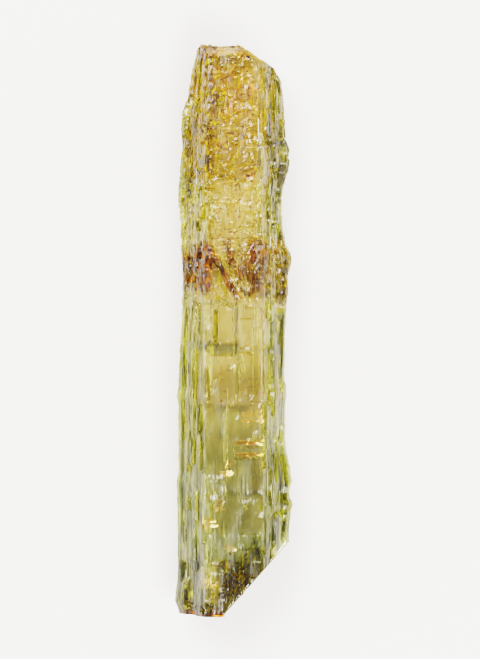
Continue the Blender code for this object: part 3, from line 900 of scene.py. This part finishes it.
# each patch: its left and right edges, its foot and top, how many lie there, their lean from the
# crystal's length and how far that strays, and the slant of the patch itself if any, in mm and degrees
inclusionRecipes = dict(
    rust_needles=dict(look="rust", form="needle", seed=3, patches=(
        (-6.9, -4, 56.2, 63.8, 260, 4, 13), (-9.3, -6.6, 57, 62.6, 150, 2, 12),
        (-2.1, -0.8, 54.8, 63, 100, -30, 8, -30), (-0.7, 0.5, 58.4, 63.8, 60, -24, 9, -24),
        (6.7, 8.2, 61.2, 65.4, 26, 8, 12), (7, 8.6, 59.8, 60.6, 6, 80, 10),
    )),
    brown_needles=dict(look="brown", form="needle", seed=8, patches=(
        (1.9, 3.3, 56, 62.2, 60, -22, 12, -22), (0.6, 2.2, 55, 60, 30, -14, 14, -10),
        (0.1, 0.6, 45.4, 58, 34, -2, 4), (-5.6, -4.2, 58, 64.4, 50, 4, 16),
        (-1.2, -0.6, 60, 63.6, 16, -12, 10), (4.7, 6.2, 54.8, 56.2, 5, 45, 5),
        (4.7, 6.2, 54.8, 56.2, 5, -45, 5),
    )),
    brown_crumbs=dict(look="brown", form="crumb", seed=12, patches=(
        (2.9, 6.2, 57, 65.4, 130, 0, 35, -8), (-2.1, 2.3, 3.8, 7.2, 50, 30, 50, 30),
        (0.6, 1.4, 83.6, 84.1, 9, 90, 20), (-0.8, -0.3, 83.8, 84.3, 4, 90, 20),
        (0.9, 2.4, 97.2, 97.8, 16, 80, 20), (6.6, 8.4, 81.4, 84.4, 16, 70, 30),
        (7.4, 10.2, 54.5, 57.5, 26, 30, 40),
    )),
    dark_cracks=dict(look="brown", form="crack", seed=15, patches=(
        (-1.9, 0.2, 99.2, 99.6, 14, 84, 8), (-0.9, 0.6, 98.5, 99, 10, 76, 8),
        (-3.9, 0.2, 96.6, 97.6, 22, 96, 8), (-6.6, -4.4, 95.4, 97.8, 22, 40, 50),
        (-2, 1.6, 63, 66, 26, 86, 16), (-0.2, 0.9, 74.2, 75.2, 9, 60, 30),
    )),
    amber_crumbs=dict(look="amber", form="crumb", seed=27, patches=(
        (2, 4, 91.6, 92.4, 24, 80, 20), (1, 2.9, 90.4, 91.2, 15, 70, 40),
        (-0.3, 0.6, 90.9, 92.2, 10, 45, 40), (-1.4, -0.2, 93.4, 94.8, 10, 45, 40),
        (-1.4, -0.4, 88.2, 89.2, 10, 60, 40), (1.6, 3.5, 75.8, 77.4, 30, 60, 50),
        (-3.3, -0.9, 80.2, 82.6, 24, 70, 50), (4.6, 5.4, 50.4, 53.2, 18, 40, 50),
        (-4.4, 4.4, 61.5, 97, 90, 88, 24), (8.1, 8.8, 75.4, 79, 22, 0, 8),
        (-6.6, -4.4, 96, 99.6, 30, 60, 60), (4.8, 6.4, 38.7, 41, 8, 60, 10),
    )),
    amber_cracks=dict(look="amber", form="crack", seed=29, patches=(
        (-4.6, 4.6, 61, 98, 120, 90, 14), (-5.2, -4, 91, 96.6, 26, 0, 10),
        (-6, 5, 36, 44, 26, 88, 12), (8.6, 10, 30, 92, 44, 0, 4),
        (-10, -9, 24, 52, 20, 0, 4), (-3.6, -0.8, 8.8, 9.8, 9, 104, 8),
    )),
    # painted glints: gold bars laid on the ledges of the lower front, where light catches
    gold_bars=dict(look="gold", form="bar", seed=23, patches=(
        (0.3, 3.8, 29.8, 30.4, 34, 87, 4), (0.3, 3.9, 28, 28.4, 26, 91, 3),
        (-2.8, -1.5, 24.3, 25.2, 9, 80, 25), (-6, -4.3, 15.2, 16.5, 9, 112, 10),
        (-2.1, -0.9, 12, 12.8, 5, 118, 8),
    )),
    # painted highlights: gold specks in the lower front and the upper middle
    gold_crumbs=dict(look="gold", form="crumb", seed=28, patches=(
        (1, 5.5, 33.4, 35.8, 80, 82, 40), (-3.6, -1.8, 18.2, 20.2, 36, 60, 60),
        (-1.6, -0.5, 25.7, 26.8, 10, 30, 40), (-5.9, -3.4, 4.8, 6.6, 40, 70, 40),
        (-4.6, 4.6, 62, 96, 70, 90, 20), (-1, 1.5, 96.4, 98.8, 20, 80, 30),
    )),
    # fracture veils under the front, their pale cream brightness partly a painted reflection
    cream_veils=dict(look="cream", form="veil", seed=41, patches=(
        (-4, 3.9, 62, 96, 110, 90, 12), (-3.8, 3, 55, 62, 12, -14, 14),
        (-7.9, -6, 6.4, 8.2, 12, 60, 40), (-3.2, -2.2, 2.2, 7.6, 24, 34, 16, 26),
    )),
    # painted sheen: pale strips under the flanks and the front that stand in for reflected light
    silver_sheets=dict(look="painted_sheen", form="sheet", seed=31, patches=(
        (5.4, 9, 30, 88, 46, 0, 1.6), (-9.2, -5.6, 4.5, 24, 22, 0, 1.6),
        (-9, -5.4, 62, 78, 14, 0, 1.6), (-9, -5.2, 24, 50, 18, 0, 1.6),
        (4, 4.7, 74, 83, 7, 0, 1.6), (-1.9, -1.6, 30, 33.5, 4, 0, 0.6),
        (1.2, 1.5, 16.5, 18, 3, 0, 0.6), (5.5, 9, 17, 28, 12, 0, 1.6),
        (5.5, 6.6, 40, 55, 6, 0, 1),
    )),
    # painted sheen in small wedges low on the front and on the right flank
    silver_wedges=dict(look="painted_sheen", form="needle", seed=34, patches=(
        (0.1, 0.9, 7.6, 12.6, 12, 8, 4, 8), (1.2, 2, 7.6, 12.6, 12, -12, 4, -12),
        (-7.4, -5, 2, 6.4, 24, 0, 14), (7, 9.4, 12.6, 14.6, 16, 30, 60),
    )),
    # painted highlights: near-white strips along the slanting lower end of the front and on the right flank
    silver_rims=dict(look="rim", form="rim", seed=36, patches=(
        (0.75, 0.85, 0.9, 6.3, 22, 41.2, 0.5, 41.2), (7.1, 7.2, 9.2, 11.8, 9, 74, 0.5, 41.2),
    )),
    base_rim=dict(look="ember", form="rim", seed=38, patches=(
        (-4, -3.6, 0.2, 0.26, 5, 90, 0.5), (-8.2, -7.2, 0.3, 0.5, 4, 90, 0.5),
    )),
    ochre_flecks=dict(look="ochre", form="fleck", seed=44, patches=(
        (-8.4, -5.7, 76, 96.5, 290, 4, 26), (-9.4, -7, 70, 84, 80, 0, 24),
        (-5, -3.4, 82, 97, 80, 30, 60), (-4.8, -3.9, 76, 82, 24, 20, 60),
        (-3.4, -1.6, 88.4, 91.6, 26, 80, 40), (6, 7, 84.5, 87.6, 16, 0, 40),
        (-4.4, 4, 77, 96, 50, 85, 40), (-8.8, -6, 56, 70, 60, 0, 12),
        (7.4, 9.8, 55, 65.4, 110, 0, 30), (-6.5, -4.8, 83, 97, 90, 2, 20),
        (-6.6, -5, 70, 83, 36, 2, 16),
    )),
    band_splinters=dict(look="splinter", form="splinter", seed=51, patches=(
        (-6.9, -4, 56.6, 63.8, 170, 4, 13), (-9.3, -6.6, 57.2, 62.4, 95, 2, 12),
        (-2.1, -0.8, 55.4, 62.6, 34, -30, 8, -30), (1.9, 3.3, 56.4, 62, 24, -22, 12, -22),
        (3.2, 6.4, 57, 64.8, 84, 0, 26, -8), (7.4, 9.4, 55.6, 65, 22, 0, 20),
    )),
    stain_flecks=dict(look="umber", form="chip", seed=53, patches=(
        (-2.2, 2.4, 3.8, 7.4, 80, 34, 40, 30), (-2.4, 6.4, 1.6, 11, 90, 40, 50),
        (-8.8, -2.8, 0.7, 2.4, 36, 88, 12), (7.2, 9.8, 54.6, 65, 60, 0, 30),
    )),
    end_chips=dict(look="honey", form="chip", seed=55, patches=(
        (-5.8, -3.2, 96.8, 100, 80, 60, 40), (-3.2, 0.4, 99.2, 100, 14, 84, 12),
    )),
    green_marks=dict(look="green", form="crack", seed=19, patches=(
        (-6.6, -2.6, 88.6, 91.6, 60, 80, 50), (-7.8, -4, 83.2, 86.2, 60, 80, 50),
        (-6.5, -4, 78, 81, 36, 60, 50), (-9.8, -6.8, 74.6, 78.2, 30, 20, 40),
        (-9.4, -5, 62, 75, 36, 10, 20), (-8.6, -5, 86, 95, 40, 20, 40),
        (-6.7, -4.8, 46.6, 49.6, 22, -52, 8), (-5.2, -3.2, 46.4, 49.2, 22, 52, 8),
        (6.4, 7.3, 88.3, 89.2, 14, 60, 40), (6.8, 8.4, 81.4, 84.8, 40, 60, 40),
        (4.2, 4.6, 78.4, 79.8, 8, 0, 6), (2.6, 6.4, 9.4, 13.2, 120, 45, 50),
        (-3.2, 1, 76, 76.7, 14, 90, 8), (5, 9.6, 26, 34, 50, 110, 40),
    )),
    green_streaks=dict(look="green", form="thread", seed=21, patches=(
        (-8.1, -6.9, 27, 45, 14, 0, 1.2), (-5.9, -5.4, 27.5, 32.5, 5, 0, 0.8),
        (-6.2, -4.6, 38, 46, 7, 0, 1.6), (5.8, 9.2, 17, 27, 16, 0, 1.6),
        (-6.9, -6.1, 10, 13.6, 4, 0, 2), (6.2, 9.2, 34, 80, 14, 0, 1.6),
        (-9.2, -8.2, 26, 50, 6, 0, 1.2), (5.8, 7.9, 66, 90, 52, 0, 2),
        (5.8, 8.4, 30, 52, 24, 0, 2), (-9, -6, 5, 26, 28, 0, 1.4),
        (-9.2, -6, 28, 48, 26, 0, 1.4), (5.8, 9, 16, 27, 26, 0, 1.6),
    )),
)

tree = scatterTree(scatterFixed)
looks = {name: inclusionMaterial(name, look) for name, look in inclusionLooks.items()}
for name, recipe in inclusionRecipes.items():
    piece = scattered(name, tree, recipe, looks[recipe["look"]])
    print(name, len(piece.data.polygons), "faces")


# Floor, lights and camera

# in m, except the lens, the sensor, frameHeight (how much the picture shows from top to bottom) and aimX
# (how far right of the crystal's middle it looks), which are in mm
studio = dict(
    floorHalf=4.0, floorColour=(0.92, 0.915, 0.905, 1.0), floorRoughness=0.6,
    floorDrop=0.05,  # in mm: a hair below the crystal, whose face would otherwise share the floor's plane
    worldColour=(1.0, 0.99, 0.97, 1.0), worldStrength=0.8,
    lens=200.0, sensor=36.0, clip=(0.01, 10.0), frameHeight=116.1, aimX=1.0,
    lights=dict(
        over_top=dict(place=(-0.22, 0.36, 0.75), size=(0.5, 0.4), power=7.9, colour=(1.0, 0.97, 0.92)),
        over_low=dict(place=(0.22, -0.36, 0.75), size=(0.5, 0.4), power=7.9, colour=(1.0, 0.97, 0.92)),
        left_side=dict(place=(-0.42, 0, 0.16), size=(0.4, 0.1), power=0.3, colour=(1.0, 0.98, 0.95)),
        right_side=dict(place=(0.42, 0, 0.16), size=(0.4, 0.1), power=0.3, colour=(1.0, 0.98, 0.95)),
    ),
    lightAim=(0, 0, 0.01),
    viewTransform="Filmic", viewLook="Very High Contrast",
)


def makeFloor(recipe):
    mesh = bpy.data.meshes.new("floor")
    half, height = recipe["floorHalf"], -recipe["floorDrop"] * mm
    corners = [(-half, -half, height), (half, -half, height), (half, half, height), (-half, half, height)]
    mesh.from_pydata(corners, [], [(0, 1, 2, 3)])
    floor = addObject("floor", mesh)
    material, _, shader = addMaterial("pale_floor")
    setInputs(shader, Base_Color=recipe["floorColour"], Roughness=recipe["floorRoughness"])
    mesh.materials.append(material)


def makeLight(name, recipe, aim):
    light = bpy.data.lights.new(name, "AREA")
    light.shape = "RECTANGLE"
    light.size, light.size_y = recipe["size"]
    light.energy, light.color = recipe["power"], recipe["colour"]
    lamp = addObject(name, light)
    lamp.location = recipe["place"]
    lamp.rotation_mode = "QUATERNION"
    lamp.rotation_quaternion = (Vector(aim) - Vector(recipe["place"])).to_track_quat("-Z", "Y")


def makeWorld(recipe):
    world = bpy.data.worlds.new("studio")
    world.use_nodes = True
    background = world.node_tree.nodes["Background"]
    setInputs(background, Color=recipe["worldColour"], Strength=recipe["worldStrength"])
    bpy.context.scene.world = world


def makeCamera(recipe):
    data = bpy.data.cameras.new("camera")
    data.lens, data.sensor_width, data.sensor_fit = recipe["lens"], recipe["sensor"], "AUTO"
    data.clip_start, data.clip_end = recipe["clip"]
    camera = addObject("camera", data)
    reach = recipe["frameHeight"] / 2 / (data.sensor_width / 2 / data.lens)
    middle = (cadLow + cadHigh) / 2
    camera.location = (middle.x + recipe["aimX"] * mm, middle.y, middle.z + reach * mm)
    bpy.context.scene.camera = camera


makeFloor(studio)
makeWorld(studio)
for name, recipe in studio["lights"].items():
    makeLight(name, recipe, studio["lightAim"])
makeCamera(studio)
bpy.context.scene.view_settings.view_transform = studio["viewTransform"]
bpy.context.scene.view_settings.look = studio["viewLook"]
print("studio:", len(studio["lights"]), "lights")

print("ready")
